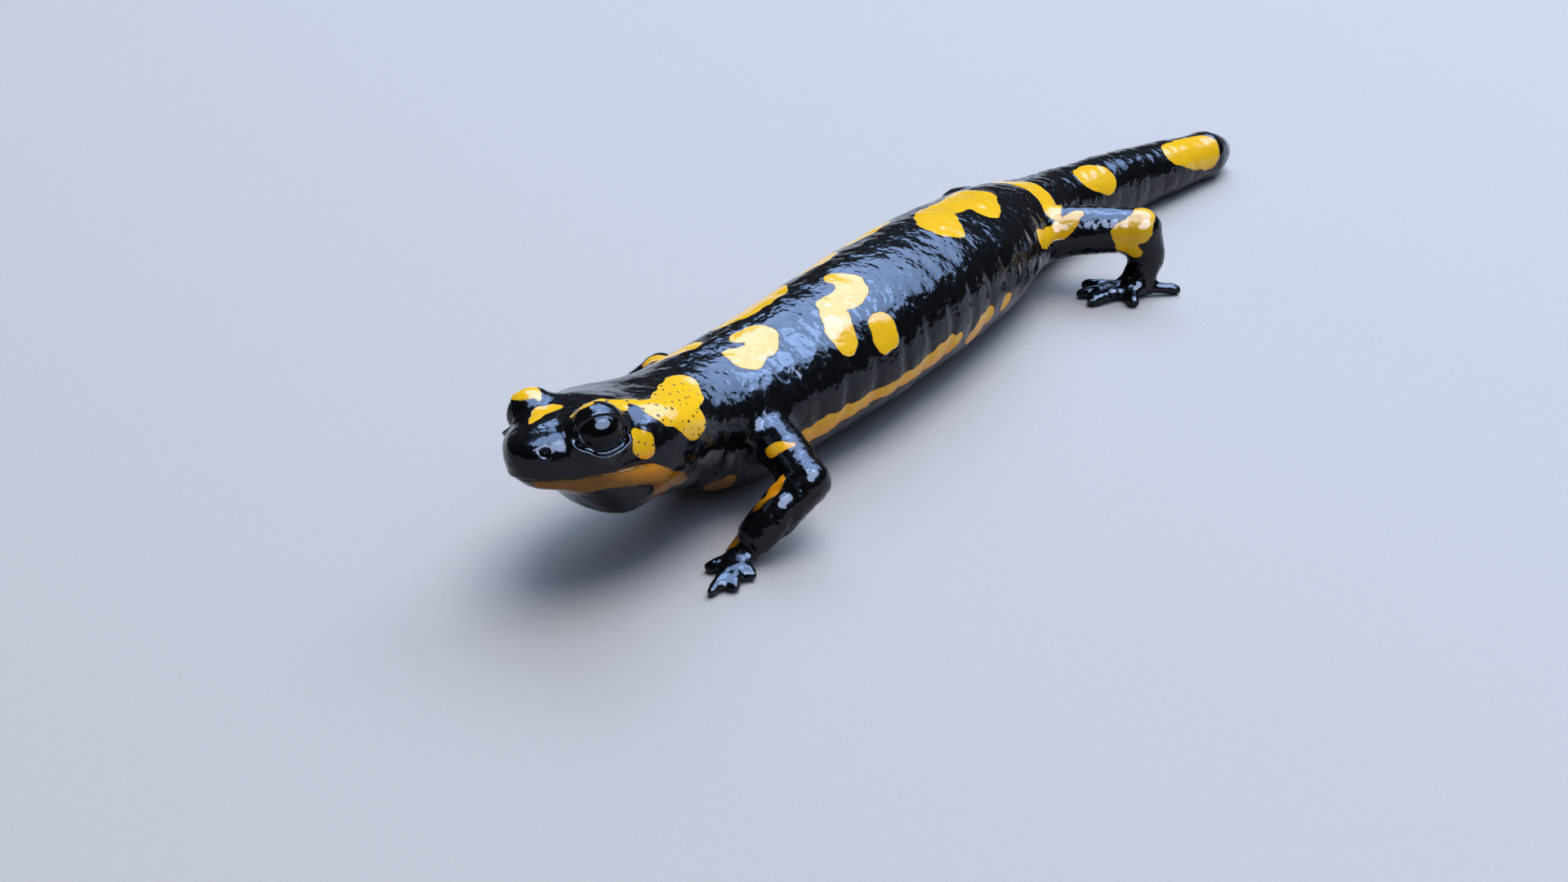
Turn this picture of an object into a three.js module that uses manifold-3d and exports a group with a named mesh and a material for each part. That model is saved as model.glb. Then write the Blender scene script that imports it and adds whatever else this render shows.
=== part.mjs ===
// Fire salamander, life size, standing still. Millimetres, +Z up, the floor at z = 0.
// The animal faces -Y, so its left side is +X. Distances along the body run from the snout backwards.
// The whole body is modelled as one solid and then parted by thin gaps into its named lengths.
import * as THREE from "three";
import { mergeVertices } from "three/addons/utils/BufferGeometryUtils.js";
import Module from "manifold-3d";

const wasm = await Module();
wasm.setup();

// ---- driving dimensions ----
const GAP = 0.3; // left between nodes that touch

const HEAD = { length: 22, muzzle: 17, halfWidth: 9.7, pitch: 10, roll: 9.5 };
const LEVEL_AT = { roll: 36, pitch: 44 }; // distances at which the turn of the head has died out
const MUZZLE = { fullness: 1.9, bluntness: 0.66, high: 2.4, deep: 4.35, blendHigh: 13, blendDeep: 13 };
const EYE = { along: 8.15, out: 5.5, up: 4.85, radius: 2.5, lid: 0.42, slitHigh: 0.8, slitWide: 0.92 };
const EYE_LOOKS = { out: 0.869, forward: 0.456, up: 0.196 };
const NOSTRIL = { along: 2.1, out: 3.4, up: 3.35, radius: 0.42 };
const MOUTH = { drop: 2.9, sheetWidth: 30 };
const TAIL_TIP_ROUNDING = 7;
const COSTAL = { grooves: 12, first: 41, last: 98, depth: 0.32 };

// Middle of the body, from the snout to the tip of the tail.
const SPINE = [
  [1.0, -65.6, 19.0],
  [1.0, -60.0, 17.4],
  [1.1, -55.1, 15.7],
  [0.9, -49.5, 14.0],
  [0.8, -44.1, 12.7],
  [0.7, -36.1, 11.5],
  [0.9, -28.0, 10.8],
  [1.0, -13.6, 10.4],
  [0.0, 0.0, 10.3],
  [-2.7, 20.2, 9.3],
  [-5.1, 33.6, 8.5],
  [-6.4, 48.9, 6.5],
  [-5.9, 60.0, 5.6],
  [-4.9, 72.0, 4.9],
  [-3.4, 83.0, 4.2],
  [-2.3, 92.0, 3.6],
  [-2.2, 98.6, 2.9],
];

// Girth behind the muzzle: distance from the snout, half width, height above the middle, depth below it.
const GIRTH = [
  [17, 9.7, 5.9, 7.2],
  [21, 9.5, 6.1, 7.2],
  [25, 8.9, 6.3, 8.2],
  [30, 8.9, 6.7, 9.9],
  [37, 9.9, 7.3, 10.5],
  [50, 10.7, 8.6, 9.6],
  [66, 11.3, 9.3, 9.4],
  [82, 11.1, 9.1, 9.1],
  [95, 10.2, 8.0, 8.1],
  [104, 8.6, 7.1, 7.0],
  [112, 7.0, 6.3, 6.4],
  [122, 6.0, 5.9, 5.9],
  [135, 5.2, 5.4, 5.3],
  [147, 4.6, 4.7, 4.5],
  [155, 4.1, 4.1, 4.0],
];

// Each limb: its joints from shoulder or hip through elbow or knee and wrist or ankle to the palm,
// with a point in the middle of each bone between them, and the tips of its digits on the floor.
const LIMBS = {
  left: {
    arm: {
      joints: [
        [6.5, -32.6, 9.6],
        [12.0, -34.2, 9.6],
        [18.2, -36.6, 8.3],
        [16.6, -41.2, 4.8],
        [15.2, -43.9, 2.2],
        [15.1, -45.4, 1.1],
      ],
      digits: [
        [13.1, -49.2],
        [17.0, -52.6],
        [18.6, -50.4],
        [18.8, -47.2],
      ],
    },
    leg: {
      joints: [
        [-1.4, 37.6, 8.0],
        [5.2, 41.4, 9.2],
        [12.4, 45.8, 9.5],
        [13.6, 46.4, 5.7],
        [13.3, 45.0, 2.3],
        [12.8, 43.2, 1.3],
      ],
      digits: [
        [5.9, 41.4],
        [7.2, 38.0],
        [10.1, 36.5],
        [15.8, 40.0],
        [18.6, 48.4],
      ],
    },
  },
  right: {
    arm: {
      joints: [
        [-5.0, -31.0, 8.8],
        [-10.2, -30.0, 8.8],
        [-14.6, -27.2, 7.9],
        [-16.8, -32.4, 4.6],
        [-17.2, -36.8, 1.7],
        [-17.6, -38.6, 1.0],
      ],
      digits: [
        [-14.6, -41.0],
        [-16.6, -44.8],
        [-19.8, -43.8],
        [-21.4, -40.0],
      ],
    },
    leg: {
      joints: [
        [-9.6, 36.6, 6.6],
        [-14.8, 40.0, 6.1],
        [-19.6, 45.2, 5.4],
        [-21.8, 50.0, 4.2],
        [-22.4, 54.0, 1.9],
        [-23.0, 55.8, 1.1],
      ],
      digits: [
        [-17.6, 57.8],
        [-19.4, 62.2],
        [-23.2, 64.2],
        [-26.8, 62.2],
        [-28.8, 56.8],
      ],
    },
  },
};
const BONE_RADII = { arm: [3.3, 2.95, 2.75, 2.8, 2.25], leg: [4.4, 3.7, 3.3, 2.8, 2.4] };
const PALM = { arm: 1.4, leg: 1.8, flatness: 0.62, ballHeight: 0.9 };
const DIGIT = { arm: 0.87, leg: 1.0, tipHeight: 0.62, knuckle: 0.55 };

// Where the thin gaps lie: along the body, and as shares of each limb from the shoulder or hip, with one more
// across each elbow and knee.
const BODY_GAPS = { head: 23.5, neck: 29.5, ribs: 66, vent: 112, tail: 129, tailEnd: 147 };
const LIMB_GAPS = { root: { share: 0.34, reach: 5 }, bend: { reach: 5.5 }, wrist: { share: 0.93, reach: 3.4 } };

// ---- how finely each shape is drawn ----
const BODY_SIDES = 28;
const BODY_ROWS = [
  { rows: 28, end: 28, crowding: 1.45 }, // closer together on the muzzle
  { rows: 54, end: 108, crowding: 1 },
  { rows: 11, end: 158, crowding: 1 },
  { rows: 7, end: 166, crowding: 0.55 }, // and towards the tip of the tail
];
const LIMB_MESH = { sides: 12, rows: 6 };
const BEND_MESH = { sides: 12, rows: 7 };
const PALM_MESH = { sides: 12, rows: 8 };
const DIGIT_MESH = { sides: 8, rows: 7 };
const BALL_MESH = { sides: 18, rows: 11 };
const CONE_SIDES = 20;
const MOUTH_STEPS = 28;

// ---- helpers ----
const mix = THREE.MathUtils.lerp;
const clamp = THREE.MathUtils.clamp;
const ease = THREE.MathUtils.smoothstep;
const radians = THREE.MathUtils.degToRad;
const bump = (x, middle, width) => Math.exp(-(((x - middle) / width) ** 2));
const point = (p) => new THREE.Vector3(...p);
const curveThrough = (points) => new THREE.CatmullRomCurve3(points, false, "centripetal");

const spine = curveThrough(SPINE.map(point));
const BODY_LENGTH = spine.getLength();
BODY_ROWS.at(-1).end = BODY_LENGTH;

// A value from a column of the girth table, eased between its rows.
function girth(distance, column) {
  const last = GIRTH.length - 1;
  if (distance <= GIRTH[0][0]) return GIRTH[0][column];
  if (distance >= GIRTH[last][0]) return GIRTH[last][column];
  const i = GIRTH.findIndex((row) => row[0] > distance) - 1;
  const slope = (k) => {
    const before = GIRTH[Math.max(k - 1, 0)];
    const after = GIRTH[Math.min(k + 1, last)];
    return (after[column] - before[column]) / (after[0] - before[0]);
  };
  const [from, to] = [GIRTH[i], GIRTH[i + 1]];
  const span = to[0] - from[0];
  const t = (distance - from[0]) / span;
  const rise = 3 * t ** 2 - 2 * t ** 3;
  const lean = (t ** 3 - 2 * t ** 2 + t) * slope(i) + (t ** 3 - t ** 2) * slope(i + 1);
  return mix(from[column], to[column], rise) + lean * span;
}

// The body's own axes at a distance from the snout: its middle, forward, left and up.
function bodyFrame(distance) {
  const u = clamp(distance / BODY_LENGTH, 0, 1);
  const middle = spine.getPointAt(u);
  const heading = spine.getTangentAt(u).negate();
  const headShare = 1 - ease(distance, HEAD.length, LEVEL_AT.pitch);
  const pitch = mix(Math.asin(heading.z), radians(HEAD.pitch), headShare);
  const roll = radians(HEAD.roll) * (1 - ease(distance, HEAD.length - 4, LEVEL_AT.roll));
  const level = new THREE.Vector3(heading.x, heading.y, 0).normalize();
  const forward = level.multiplyScalar(Math.cos(pitch));
  forward.z = Math.sin(pitch);
  const left = new THREE.Vector3(0, 0, 1).cross(forward).normalize();
  left.applyAxisAngle(forward, roll);
  const up = forward.clone().cross(left).normalize();
  return { middle, forward, left, up };
}

function bodyPoint(distance, out, high) {
  const { middle, left, up } = bodyFrame(distance);
  return middle.addScaledVector(left, out).addScaledVector(up, high);
}

// Half width, height and depth of the plain body at a distance from the snout.
function bodySize(distance) {
  const tip = Math.sqrt(clamp((BODY_LENGTH - distance) / TAIL_TIP_ROUNDING, 0, 1));
  if (distance >= HEAD.muzzle) return [1, 2, 3].map((column) => girth(distance, column) * tip);
  const behind = 1 - distance / HEAD.muzzle;
  const wide = HEAD.halfWidth * (1 - behind ** MUZZLE.fullness) ** MUZZLE.bluntness;
  const nose = clamp(distance / 5, 0, 1);
  const blunt = Math.sqrt(nose * (2 - nose));
  const high = mix(MUZZLE.high, GIRTH[0][2], ease(distance, 0, MUZZLE.blendHigh)) * blunt;
  const deep = mix(MUZZLE.deep, GIRTH[0][3], ease(distance, 4, MUZZLE.blendDeep)) * blunt;
  return [wide, high, deep];
}

// How far the skin stands out of the plain body. Upness runs from -1 under the belly to 1 along the back.
function relief(distance, upness, outness) {
  const parotoid = bump(distance, 17.2, 4.6) * bump(outness, 0.82, 0.3) * ease(upness, -0.1, 0.45);
  const cheek = 0.5 * bump(distance, 15, 4) * bump(upness, -0.15, 0.35);
  const pouch = bump(distance, 12.8, 1.9) - 0.3 * bump(distance, 8.4, 1.8);
  const throat = pouch * bump(upness, -1, 0.35);
  const lip = distance < EYE.along + 4 ? 0.22 * bump(upness, -0.22, 0.12) : 0;
  const gularFold = -0.5 * bump(distance, 24, 1.3) * ease(-upness, 0.1, 0.7);
  const spacing = (COSTAL.last - COSTAL.first) / (COSTAL.grooves - 1);
  const onRibs = ease(distance, COSTAL.first - 3, COSTAL.first) * (1 - ease(distance, COSTAL.last, COSTAL.last + 3));
  const crease = Math.cos((Math.PI * (distance - COSTAL.first)) / spacing) ** 8;
  const groove = -COSTAL.depth * onRibs * crease * bump(upness, -0.15, 0.6);
  return parotoid + cheek + throat + lip + gularFold + groove;
}

// ---- solids ----
function toSolid(geometry) {
  const bare = geometry.clone();
  bare.deleteAttribute("normal");
  bare.deleteAttribute("uv");
  const merged = mergeVertices(bare, 1e-4);
  const vertProperties = merged.attributes.position.array;
  const triVerts = new Uint32Array(merged.index.array);
  const solid = new wasm.Manifold(new wasm.Mesh({ numProp: 3, vertProperties, triVerts }));
  if (solid.volume() > 0) return solid;
  return new wasm.Manifold(new wasm.Mesh({ numProp: 3, vertProperties, triVerts: triVerts.reverse() }));
}

// A closed loft: a sphere whose rows are laid along a path by place(share of the path, angle around it).
function loft({ sides, rows }, place) {
  const geometry = new THREE.SphereGeometry(1, sides, rows);
  const { position, uv } = geometry.attributes;
  for (let i = 0; i < position.count; i++) {
    const share = Math.round((1 - uv.getY(i)) * rows) / rows;
    const onPole = share === 0 || share === 1;
    const turn = onPole ? 0 : Math.round(uv.getX(i) * sides) / sides;
    const p = place(share, -2 * Math.PI * turn);
    position.setXYZ(i, p.x, p.y, p.z);
  }
  return toSolid(geometry);
}

function rowDistance(row) {
  let start = 0;
  let first = 0;
  for (const { rows, end, crowding } of BODY_ROWS) {
    if (row <= first + rows) return mix(start, end, ((row - first) / rows) ** crowding);
    first += rows;
    start = end;
  }
  return BODY_LENGTH;
}

function makeTrunk() {
  const rows = BODY_ROWS.reduce((sum, band) => sum + band.rows, 0);
  return loft({ sides: BODY_SIDES, rows }, (share, angle) => {
    const distance = rowDistance(share * rows);
    const [wide, high, deep] = bodySize(distance);
    const out = Math.cos(angle);
    const up = Math.sin(angle);
    const swell = Math.min(wide, 1) * relief(distance, up, Math.abs(out));
    const boxiness = mix(0.88, 0.97, ease(distance, 10, 40));
    return bodyPoint(
      distance,
      Math.sign(out) * Math.abs(out) ** boxiness * (wide + swell),
      Math.sign(up) * Math.abs(up) ** boxiness * ((up > 0 ? high : deep) + swell),
    );
  });
}

// A round-ended tube along a curve, its radius eased between the ones given. Flat squeezes its height.
function tube(points, radii, mesh, flat = 1) {
  const curve = curveThrough(points);
  const { normals, binormals } = curve.computeFrenetFrames(mesh.rows);
  const upright = new THREE.Vector3(0, 0, 1);
  return loft(mesh, (share, angle) => {
    const row = Math.round(share * mesh.rows);
    const level = upright.clone().cross(curve.getTangentAt(share)).normalize();
    const across = flat < 1 ? level : normals[row];
    const over = flat < 1 ? curve.getTangentAt(share).cross(level) : binormals[row];
    const place = share * (radii.length - 1);
    const i = Math.min(Math.floor(place), radii.length - 2);
    const roundEnd = Math.sqrt(Math.max(0, 1 - (2 * share - 1) ** 24));
    const radius = mix(radii[i], radii[i + 1], ease(place, i, i + 1)) * roundEnd;
    return curve
      .getPointAt(share)
      .addScaledVector(across, Math.cos(angle) * radius)
      .addScaledVector(over, Math.sin(angle) * radius * flat);
  });
}

const boneCurve = ({ joints }) => curveThrough(joints.slice(0, -1).map(point));

// The two lengths of a limb, which meet in a ball at the elbow or knee.
function bentLimb(bones, radii) {
  const bend = (bones.length - 1) / 2;
  return tube(bones.slice(0, bend + 1), radii.slice(0, bend + 1), LIMB_MESH)
    .add(tube(bones.slice(bend), radii.slice(bend), LIMB_MESH))
    .add(ball(bones[bend], radii[bend] * 1.03, BEND_MESH));
}

function makeLimb({ joints, digits }, kind) {
  const bones = joints.slice(0, -1).map(point);
  const [wrist, palm] = joints.slice(-2).map(point);
  const thick = DIGIT[kind];
  const tips = digits.map(([x, y]) => new THREE.Vector3(x, y, thick * DIGIT.tipHeight));
  const reach = tips.reduce((sum, tip) => sum.add(tip), new THREE.Vector3()).divideScalar(tips.length);
  const heel = wrist.clone().lerp(palm, -0.3);
  const ballOfHand = palm.clone().lerp(reach, 0.3).setZ(PALM.ballHeight);
  const palmRadii = [BONE_RADII[kind].at(-1) * 0.9, PALM[kind] * 1.5, PALM[kind] * 1.15];
  const limb = bentLimb(bones, BONE_RADII[kind]).add(
    tube([heel, palm, ballOfHand], palmRadii, PALM_MESH, PALM.flatness),
  );
  const digitRadii = [1.15, 1.1, 0.95, 0.75].map((share) => share * thick);
  return tips.reduce((hand, tip) => {
    const root = palm.clone().lerp(tip, 0.08).setZ(thick);
    const knuckle = palm.clone().lerp(tip, DIGIT.knuckle).setZ(thick * 1.15);
    return hand.add(tube([root, knuckle, tip], digitRadii, DIGIT_MESH));
  }, limb);
}

// A thin slab across a direction, which parts two nodes.
function slab(middle, direction, reach) {
  const geometry = new THREE.BoxGeometry(2 * reach, GAP, 2 * reach);
  const yAxis = new THREE.Vector3(0, 1, 0);
  geometry.applyQuaternion(new THREE.Quaternion().setFromUnitVectors(yAxis, direction));
  geometry.translate(middle.x, middle.y, middle.z);
  return toSolid(geometry);
}

function bodySlab(distance) {
  const { middle, forward } = bodyFrame(distance);
  return slab(middle, forward, bodySize(distance)[0] + 1.5);
}

function limbSlabs(limb) {
  const curve = boneCurve(limb);
  const { root, bend, wrist } = LIMB_GAPS;
  const cut = ({ share, reach }) => slab(curve.getPointAt(share), curve.getTangentAt(share), reach);
  return [cut(root), slab(curve.getPoint(0.5), curve.getTangent(0.5), bend.reach), cut(wrist)];
}

// ---- head: eyes, nostrils and mouth, placed along, out and up from the front of the mouth ----
const headAxes = bodyFrame(EYE.along);
const mouthFront = bodyPoint(0, 0, -MOUTH.drop);

function headPoint({ along, out, up }, side = 1) {
  return mouthFront
    .clone()
    .addScaledVector(headAxes.forward, -along)
    .addScaledVector(headAxes.left, out * side)
    .addScaledVector(headAxes.up, up);
}

function ball(middle, radius, { sides, rows } = BALL_MESH) {
  return toSolid(new THREE.SphereGeometry(radius, sides, rows).translate(middle.x, middle.y, middle.z));
}

// The gap between the lids: an oval cone that opens outwards from the middle of the eye.
function lidSlit(middle, side) {
  const axis = new THREE.Vector3()
    .addScaledVector(headAxes.left, side * EYE_LOOKS.out)
    .addScaledVector(headAxes.forward, EYE_LOOKS.forward)
    .addScaledVector(headAxes.up, EYE_LOOKS.up)
    .normalize();
  const reach = EYE.radius * 2.4;
  const cone = new THREE.ConeGeometry(reach * EYE.slitWide, reach, CONE_SIDES);
  cone.rotateX(Math.PI).translate(0, reach / 2, 0);
  const across = headAxes.up.clone().cross(axis).normalize();
  const over = axis.clone().cross(across).multiplyScalar(EYE.slitHigh);
  cone.applyMatrix4(new THREE.Matrix4().makeBasis(over, axis, across.negate()).setPosition(middle));
  return toSolid(cone);
}

// The line of the closed mouth: a bent sheet along the lips, which turns down behind the jaw to the throat.
function mouthSheet() {
  const lips = [
    [-4, 0],
    [0, 0],
    [4, -0.25],
    [9, 0.3],
    [12.6, 0.4],
    [16.5, -2.0],
    [19.5, -6],
    [21.5, -12],
  ];
  const line = curveThrough(lips.map(([along, up]) => new THREE.Vector3(along, up, 0)));
  const edge = (side) =>
    line.getPoints(MOUTH_STEPS).map((p, i) => {
      const along = line.getTangent(i / MOUTH_STEPS);
      return new THREE.Vector2(p.x - along.y * side * (GAP / 2), p.y + along.x * side * (GAP / 2));
    });
  const outline = new THREE.Shape([...edge(1), ...edge(-1).reverse()]);
  const sheet = new THREE.ExtrudeGeometry(outline, { depth: MOUTH.sheetWidth, bevelEnabled: false });
  sheet.translate(0, 0, -MOUTH.sheetWidth / 2);
  const { forward, left, up } = headAxes;
  const toHead = new THREE.Matrix4().makeBasis(forward.clone().negate(), up, left).setPosition(mouthFront);
  return toSolid(sheet.applyMatrix4(toHead));
}

// ---- the whole animal, then its named lengths ----
let skin = makeTrunk();
const eyes = {};
for (const [name, side] of [["left", 1], ["right", -1]]) {
  const middle = headPoint(EYE, side);
  skin = skin
    .add(ball(middle, EYE.radius + GAP + EYE.lid))
    .subtract(ball(middle, EYE.radius + GAP))
    .subtract(lidSlit(middle, side))
    .subtract(ball(headPoint(NOSTRIL, side), NOSTRIL.radius));
  eyes[name] = ball(middle, EYE.radius);
}
const limbs = Object.values(LIMBS).flatMap(({ arm, leg }) => [arm, leg]);
for (const { arm, leg } of Object.values(LIMBS)) {
  skin = skin.add(makeLimb(arm, "arm")).add(makeLimb(leg, "leg"));
}
const belowFloor = toSolid(new THREE.BoxGeometry(300, 400, 40).translate(0, 0, -20));
const cuts = [belowFloor, mouthSheet(), ...Object.values(BODY_GAPS).map(bodySlab), ...limbs.flatMap(limbSlabs)];
const pieces = cuts.reduce((whole, cut) => whole.subtract(cut), skin).decompose();

// A point inside each node, by which its piece is found.
const inside = {
  head: headPoint({ along: 8, out: 0, up: 2 }),
  jaw: headPoint({ along: 8, out: 0, up: -3 }),
  neck: bodyPoint(26.5, 0, 0),
  torso_front: bodyPoint(50, 0, 0),
  torso_rear: bodyPoint(90, 0, 0),
  tail_base: bodyPoint(118, 0, 0),
  tail_middle: bodyPoint(138, 0, 0),
  tail_tip: bodyPoint(153, 0, 0),
};
for (const [side, { arm, leg }] of Object.entries(LIMBS)) {
  const lengths = { upper_arm: [arm, 0.41], forearm: [arm, 0.75], hand: [arm, 0.98] };
  Object.assign(lengths, { thigh: [leg, 0.41], shank: [leg, 0.75], foot: [leg, 0.98] });
  for (const [name, [limb, share]] of Object.entries(lengths)) {
    inside[name + "_" + side] = boneCurve(limb).getPointAt(share);
  }
}

const wetSkin = { color: 0x0c0d10, roughness: 0.25, metalness: 0 };
const eyeBlack = { color: 0x040405, roughness: 0.08, metalness: 0 };
const animal = new THREE.Group();

function addNode(name, solid, finish) {
  const { vertProperties, triVerts } = solid.getMesh();
  const geometry = new THREE.BufferGeometry();
  geometry.setAttribute("position", new THREE.BufferAttribute(vertProperties, 3));
  geometry.setIndex(new THREE.BufferAttribute(triVerts, 1));
  const mesh = new THREE.Mesh(geometry, new THREE.MeshStandardMaterial(finish));
  mesh.name = name;
  animal.add(mesh);
}

const taken = new Set();
for (const [name, middle] of Object.entries(inside)) {
  const probe = ball(middle, 0.4);
  const piece = pieces.find((solid) => solid.intersect(probe).volume() > 0.05);
  if (!piece || taken.has(piece)) throw new Error(name + " is not parted from its neighbours");
  taken.add(piece);
  addNode(name, piece, wetSkin);
}
addNode("eye_left", eyes.left, eyeBlack);
addNode("eye_right", eyes.right, eyeBlack);

// The origin lies on the floor under the middle of the animal's box.
const middle = new THREE.Box3().setFromObject(animal).getCenter(new THREE.Vector3());
animal.position.set(-middle.x, -middle.y, 0);
const model = new THREE.Group();
model.add(animal);
export default model;
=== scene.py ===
import math

import bmesh
import bpy
import numpy as np
from mathutils import Matrix, Vector, noise


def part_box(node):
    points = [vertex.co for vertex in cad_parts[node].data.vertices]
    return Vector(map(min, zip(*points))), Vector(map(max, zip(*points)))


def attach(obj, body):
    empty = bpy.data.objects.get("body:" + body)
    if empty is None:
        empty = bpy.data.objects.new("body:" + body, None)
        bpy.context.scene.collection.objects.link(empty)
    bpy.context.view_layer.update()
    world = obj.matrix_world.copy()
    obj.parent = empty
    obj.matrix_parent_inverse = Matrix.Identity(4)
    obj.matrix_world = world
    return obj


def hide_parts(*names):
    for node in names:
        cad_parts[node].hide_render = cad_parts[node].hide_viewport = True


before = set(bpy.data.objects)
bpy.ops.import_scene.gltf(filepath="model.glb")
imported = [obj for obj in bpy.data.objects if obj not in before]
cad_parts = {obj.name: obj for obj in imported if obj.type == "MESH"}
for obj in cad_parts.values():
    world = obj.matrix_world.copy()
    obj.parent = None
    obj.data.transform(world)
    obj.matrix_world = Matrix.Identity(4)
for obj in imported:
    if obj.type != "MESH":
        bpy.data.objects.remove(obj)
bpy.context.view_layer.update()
mm = 0.001

# The animal is worked out in millimetres, head towards -Y and left side towards +X, in the frame of its own
# spine, and moved to the row's frame and turned into metres at the very end.

bodyShape = {
    "spine": [
        (1.0, -65.6, 19.0), (1.0, -60.0, 17.4), (1.1, -55.1, 15.7), (0.9, -49.5, 14.0), (0.8, -44.1, 12.7),
        (0.7, -36.1, 11.5), (0.9, -28.0, 10.8), (1.0, -13.6, 10.4), (0.0, 0.0, 10.3), (-2.7, 20.2, 9.3),
        (-5.1, 33.6, 8.5), (-6.4, 48.9, 6.5), (-5.9, 60.0, 5.6), (-4.9, 72.0, 4.9), (-3.4, 83.0, 4.2),
        (-2.3, 92.0, 3.6), (-2.2, 98.6, 2.9),
    ],
    "girth": [  # distance from the snout, half width, height above the middle, depth below it
        (17, 9.7, 5.9, 7.2), (21, 9.5, 6.1, 7.2), (25, 8.9, 6.3, 8.2), (30, 8.9, 6.7, 9.9),
        (37, 9.9, 7.3, 10.5), (50, 10.7, 8.6, 9.6), (66, 11.3, 9.3, 9.4), (82, 11.1, 9.1, 9.1),
        (95, 10.2, 8.0, 8.1), (104, 8.6, 7.1, 7.0), (112, 7.0, 6.3, 6.4), (122, 6.0, 5.9, 5.9),
        (135, 5.2, 5.4, 5.3), (147, 4.6, 4.7, 4.5), (155, 4.1, 4.1, 4.0),
    ],
    "headPitch": 10, "headRoll": 9.5, "headLength": 22, "rollEnds": 36, "pitchEnds": 44,
    "muzzle": 17, "fullness": 1.9, "bluntness": 0.66, "noseHigh": 2.4, "noseDeep": 4.35, "noseBlend": 13,
    "tipRounding": 7,
}
eyeShape = {
    "along": 8.15, "out": 5.5, "up": 4.85, "lidRadius": 3.22, "ballRadius": 2.86,
    "looks": (0.869, 0.456, 0.196),  # outwards, forwards, upwards
    "slitWide": 62, "slitAbove": 33, "slitBelow": 43,  # half angles of the lids' opening, in degrees
}
nostril = {"along": 2.1, "out": 3.4, "up": 3.35, "radius": 0.30, "depth": 0.65, "rim": 0.06}
mouth = {
    "drop": 2.9, "end": 12.8,
    "line": [(-4, 0), (0, 0), (4, -0.25), (9, 0.3), (12.6, 0.4), (15, -0.6)],
    "relief": [(-0.30, 0, 0.2), (0.13, 0.5, 0.35), (-0.12, -0.5, 0.45)],  # height, place over it, width
    "cornerDepth": 0.12, "cornerWidth": 0.7,
}
limbs = {
    "armLeft": {
        "bones": [(6.5, -32.6, 9.6), (12.0, -34.2, 9.6), (18.2, -36.6, 8.3), (16.6, -41.2, 4.8),
                  (15.2, -43.9, 2.2)],
        "palm": (15.1, -45.4, 1.1),
        "digits": [(13.1, -49.2), (17.0, -52.6), (18.6, -50.4), (18.8, -47.2)],
    },
    "legLeft": {
        "bones": [(-1.4, 37.6, 8.0), (5.2, 41.4, 9.2), (12.4, 45.8, 9.5), (13.6, 46.4, 5.7),
                  (13.3, 45.0, 2.3)],
        "palm": (12.8, 43.2, 1.3),
        "digits": [(5.9, 41.4), (7.2, 38.0), (10.1, 36.5), (15.8, 40.0), (18.6, 48.4)],
    },
    "armRight": {
        "bones": [(-5.0, -31.0, 8.8), (-10.2, -30.0, 8.8), (-14.6, -27.2, 7.9), (-16.8, -32.4, 4.6),
                  (-17.2, -36.8, 1.7)],
        "palm": (-17.6, -38.6, 1.0),
        "digits": [(-14.6, -41.0), (-16.6, -44.8), (-19.8, -43.8), (-21.4, -40.0)],
    },
    "legRight": {
        "bones": [(-9.6, 36.6, 6.6), (-14.8, 40.0, 6.1), (-19.6, 45.2, 5.4), (-21.8, 50.0, 4.2),
                  (-22.4, 54.0, 1.9)],
        "palm": (-23.0, 55.8, 1.1),
        "digits": [(-17.6, 57.8), (-19.4, 62.2), (-23.2, 64.2), (-26.8, 62.2), (-28.8, 56.8)],
    },
}
limbSizes = {
    "arm": {"bones": [3.3, 2.95, 2.75, 2.8, 2.25], "palm": 1.4, "digit": 0.87},
    "leg": {"bones": [4.4, 3.7, 3.3, 2.8, 2.4], "palm": 1.8, "digit": 1.0},
    "flatness": 0.62, "tipHeight": 0.62, "knuckle": 0.55,
}


def ease(x, low, high):
    t = np.clip((x - low) / (high - low), 0, 1)
    return t * t * (3 - 2 * t)


def bump(x, middle, width):
    return np.exp(-(((x - middle) / width) ** 2))


def mix(a, b, t):
    return a * (1 - t) + b * t


def unit(v):
    return v / np.maximum(np.linalg.norm(v, axis=-1, keepdims=True), 1e-12)


class Path:
    # a smooth curve through points, with its length

    def __init__(self, points, steps=60):
        p = np.array(points, float)
        p = np.vstack([2 * p[0] - p[1], p, 2 * p[-1] - p[-2]])
        t = np.linspace(0, 1, steps, endpoint=False)[:, None]
        made = []
        for p0, p1, p2, p3 in zip(p, p[1:], p[2:], p[3:]):
            d0, d1, d2 = (max(np.linalg.norm(b - a), 1e-6) ** 0.5 for a, b in ((p0, p1), (p1, p2), (p2, p3)))
            leave = ((p1 - p0) / d0 - (p2 - p0) / (d0 + d1) + (p2 - p1) / d1) * d1
            arrive = ((p2 - p1) / d1 - (p3 - p1) / (d1 + d2) + (p3 - p2) / d2) * d1
            made.append(
                (2 * t**3 - 3 * t**2 + 1) * p1 + (t**3 - 2 * t**2 + t) * leave
                + (3 * t**2 - 2 * t**3) * p2 + (t**3 - t**2) * arrive
            )
        self.points = np.vstack([*made, p[-2:-1]])
        self.run = np.r_[0, np.cumsum(np.linalg.norm(np.diff(self.points, axis=0), axis=1))]
        self.length = self.run[-1]

    def at(self, distance):
        return np.stack([np.interp(distance, self.run, self.points[:, k]) for k in range(3)], -1)

    def heading(self, distance, step=0.05):
        ahead = self.at(np.minimum(distance + step, self.length))
        return unit(ahead - self.at(np.maximum(distance - step, 0)))


spine = Path(bodyShape["spine"], 120)


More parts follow.
